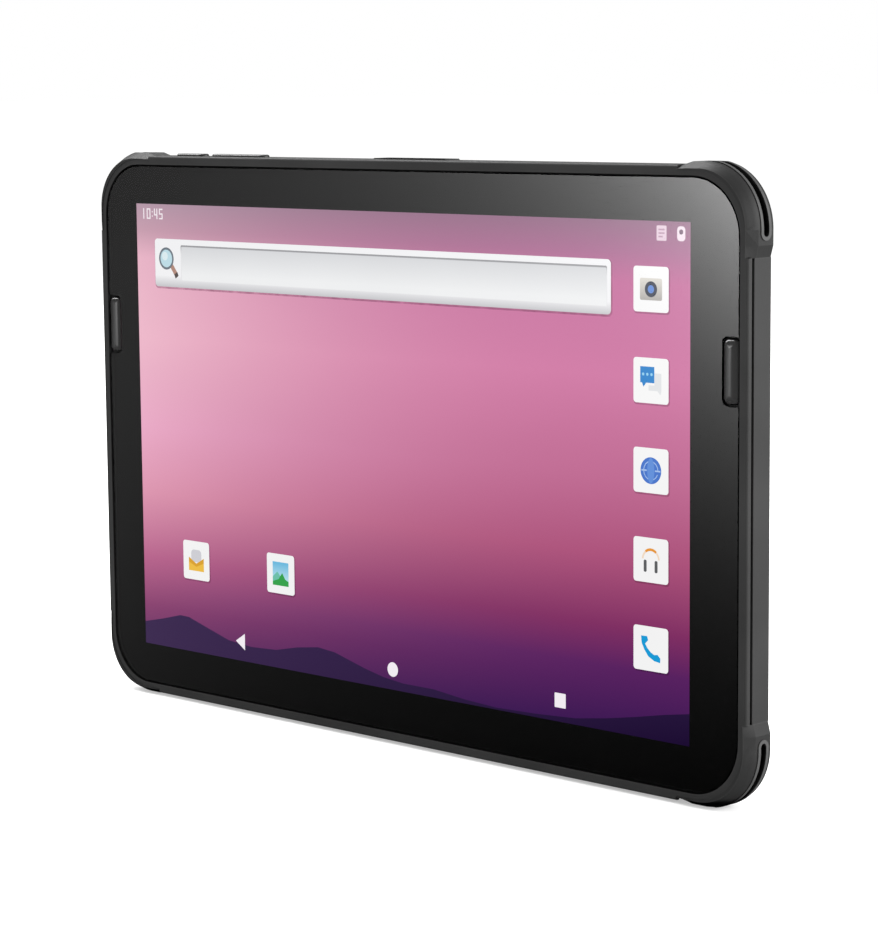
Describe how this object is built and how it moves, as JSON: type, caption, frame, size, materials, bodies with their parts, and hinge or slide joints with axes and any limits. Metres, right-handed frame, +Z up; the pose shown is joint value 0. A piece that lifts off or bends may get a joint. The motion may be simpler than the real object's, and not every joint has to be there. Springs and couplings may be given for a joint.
{
  "type": "data collector",
  "caption": "Rugged tablet field computer for survey data, with a glass touch screen, sprung scan and top keys, rubber corner bumpers, hinged port covers and a screwed battery door.",
  "frame": {"origin": "middle of the bounding box's bottom face, so the device stands upright on its two lower corner bumpers", "axes": "+X to the right as the screen is read, +Y from the screen into the device, +Z up the screen"},
  "size_m": [0.2546, 0.0128, 0.1663],
  "materials": {
    "cover_glass": "polished",
    "black_ink": "matte",
    "clear_film": "clear",
    "foam": "matte",
    "display": "gloss",
    "light_guide": "clear",
    "sheet_metal": "brushed",
    "flex_cable": "satin",
    "casing": "fine texture",
    "seal_rubber": "matte",
    "cast_frame": "cast",
    "key_rubber": "satin",
    "steel": "satin",
    "switch_body": "satin",
    "circuit_board": "solder mask",
    "cover_rubber": "matte",
    "card_plastic": "matte",
    "gold_contact": "plated",
    "chip": "matte",
    "graphite": "satin",
    "battery": "wrapped",
    "mesh": "blackened",
    "trim_ring": "anodised",
    "lens": "polished",
    "diffuser": "frosted",
    "ceramic": "matte",
    "ferrite": "matte",
    "black_steel": "blackened",
    "insert_brass": "turned",
    "speaker_box": "matte",
    "bumper_rubber": "matte"
  },
  "bodies": {
    "tablet": {"cover_glass": "cover_glass", "border_mask": "black_ink", "optical_adhesive": "clear_film", "touch_sensor": "clear_film", "glass_seal": "foam", "display_panel": "display", "light_guide": "light_guide", "display_tray": "sheet_metal", "display_flex": "flex_cable", "front_bezel": "casing", "housing_seal": "seal_rubber", "mid_frame": "cast_frame", "rear_housing": "casing", "battery_door": "casing", "battery_door_seal": "seal_rubber", "rocker_pin": "steel", "key_switches": "switch_body", "top_key_board": "circuit_board", "top_key_bracket": "sheet_metal", "cover_hinge_pins": "steel", "usb_socket": "steel", "card_reader": "sheet_metal", "memory_card": "card_plastic", "port_board": "circuit_board", "dock_connector": "switch_body", "dock_contacts": "gold_contact", "dock_board": "circuit_board", "main_board": "circuit_board", "processor_chips": "chip", "shield_cans": "sheet_metal", "heat_spreader": "graphite", "battery_pack": "battery", "battery_contacts": "gold_contact", "speaker_meshes": "mesh", "vibration_motor": "steel", "camera_module": "chip", "camera_trim": "trim_ring", "camera_window": "lens", "flash_window": "diffuser", "gnss_antenna": "ceramic", "nfc_coil": "ferrite", "scan_engine": "chip", "scan_window": "lens", "housing_screws": "black_steel", "door_screws": "black_steel", "mount_inserts": "insert_brass", "scan_key_board_left": "circuit_board", "scan_key_board_right": "circuit_board", "speaker_left": "speaker_box", "speaker_right": "speaker_box", "corner_bumper_top_left": "bumper_rubber", "corner_bumper_top_right": "bumper_rubber", "corner_bumper_bottom_left": "bumper_rubber", "corner_bumper_bottom_right": "bumper_rubber"},
    "power_key_body": {"power_key": "key_rubber"},
    "volume_rocker_body": {"volume_rocker": "key_rubber"},
    "scan_key_left_body": {"scan_key_left": "key_rubber"},
    "scan_key_right_body": {"scan_key_right": "key_rubber"},
    "port_cover_body": {"port_cover": "cover_rubber"},
    "card_cover_body": {"card_cover": "cover_rubber"}
  },
  "joints": [
    {"name": "power_press", "type": "slide", "parent": "tablet", "child": "power_key_body", "axis": [0, 0, -1], "range_m": [0, 0.0004], "stiffness_N_per_m": 800},
    {"name": "volume_rock", "type": "hinge", "parent": "tablet", "child": "volume_rocker_body", "pos_m": [-0.068, -0.0002, 0.16175], "axis": [0, 1, 0], "range_deg": [-1.6, 1.6], "stiffness_Nm_per_rad": 0.2},
    {"name": "scan_press_left", "type": "slide", "parent": "tablet", "child": "scan_key_left_body", "axis": [0, 1, 0], "range_m": [0, 0.0005], "stiffness_N_per_m": 800},
    {"name": "scan_press_right", "type": "slide", "parent": "tablet", "child": "scan_key_right_body", "axis": [0, 1, 0], "range_m": [0, 0.0005], "stiffness_N_per_m": 800},
    {"name": "port_cover_hinge", "type": "hinge", "parent": "tablet", "child": "port_cover_body", "pos_m": [-0.1251, -0.0005, 0.09515], "axis": [0, 1, 0], "range_deg": [0, 90]},
    {"name": "card_cover_hinge", "type": "hinge", "parent": "tablet", "child": "card_cover_body", "pos_m": [-0.1251, -0.0005, 0.06515], "axis": [0, 1, 0], "range_deg": [0, 90]}
  ]
}
